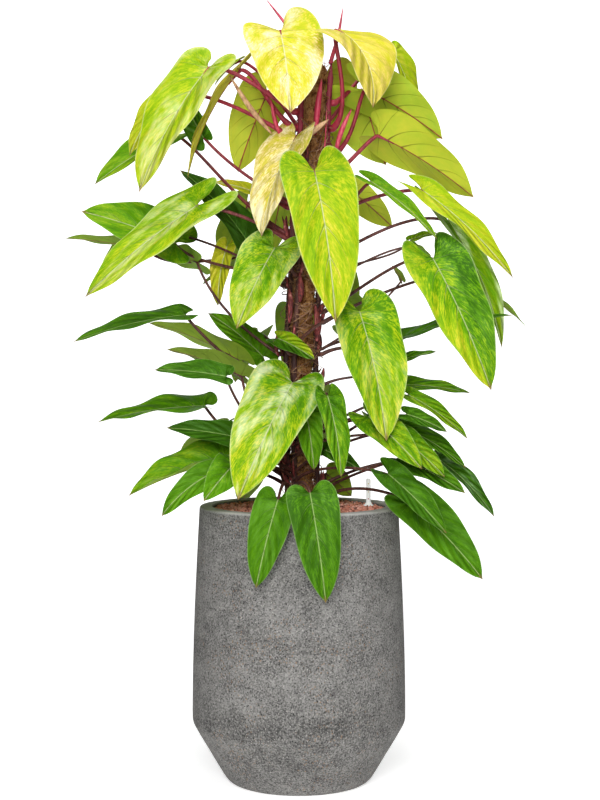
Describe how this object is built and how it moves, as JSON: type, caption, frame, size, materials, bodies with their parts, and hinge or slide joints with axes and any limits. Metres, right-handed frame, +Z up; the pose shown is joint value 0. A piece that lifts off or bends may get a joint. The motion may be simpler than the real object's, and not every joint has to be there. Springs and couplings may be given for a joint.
{
  "type": "potted philodendron",
  "caption": "Climbing philodendron with heart-shaped leaves on a coir pole, in a tall tapered stone-look planter filled with clay granules.",
  "frame": {"origin": "centre of the planter's flat base, on the surface it stands on", "axes": "+Z up along the planter's axis and the pole, -Y towards the plant's front"},
  "size_m": [0.9036, 0.5299, 1.4953],
  "materials": {
    "stone": "fine rough cement with dark and light specks",
    "clay": "rough fired clay granules",
    "tub": "matt black moulding",
    "roots": "granules bound with roots",
    "wood": "plain turned stake",
    "coir": "coarse brown coconut fibre",
    "stem": "dark maroon satin bark",
    "clear": "clear to whitish gloss",
    "float": "red gloss",
    "spear": "crimson satin",
    "leaf": "waxy satin leaf, green marbled with yellow"
  },
  "bodies": {
    "root": {"planter": "stone", "clay_granules": "clay", "culture_pot": "tub", "root_ball": "roots", "pole_stake": "wood", "coir_wrap": "coir", "stem_left": "stem", "stem_right": "stem", "stem_front": "stem", "stem_back": "stem", "gauge_tube": "clear", "gauge_flange": "clear", "gauge_float": "float", "spear_left": "spear", "spear_right": "spear", "leaf_top_1": "leaf", "leaf_top_2": "leaf", "leaf_left_1": "leaf", "leaf_left_2": "leaf", "leaf_left_3": "leaf", "leaf_left_4": "leaf", "leaf_left_5": "leaf", "leaf_left_6": "leaf", "leaf_left_7": "leaf", "leaf_left_8": "leaf", "leaf_left_9": "leaf", "leaf_left_10": "leaf", "leaf_left_11": "leaf", "leaf_left_12": "leaf", "leaf_left_13": "leaf", "leaf_left_14": "leaf", "leaf_front_1": "leaf", "leaf_front_2": "leaf", "leaf_front_3": "leaf", "leaf_front_4": "leaf", "leaf_front_5": "leaf", "leaf_front_6": "leaf", "leaf_front_7": "leaf", "leaf_front_8": "leaf", "leaf_right_1": "leaf", "leaf_right_2": "leaf", "leaf_right_3": "leaf", "leaf_right_4": "leaf", "leaf_right_5": "leaf", "leaf_right_6": "leaf", "leaf_right_7": "leaf", "leaf_right_8": "leaf", "leaf_right_9": "leaf", "leaf_right_10": "leaf", "leaf_right_11": "leaf", "leaf_right_12": "leaf", "leaf_right_13": "leaf", "leaf_right_14": "leaf", "leaf_right_15": "leaf", "leaf_back_1": "leaf", "leaf_back_2": "leaf", "leaf_back_3": "leaf", "leaf_back_4": "leaf", "leaf_back_5": "leaf", "leaf_back_6": "leaf"}
  },
  "joints": []
}
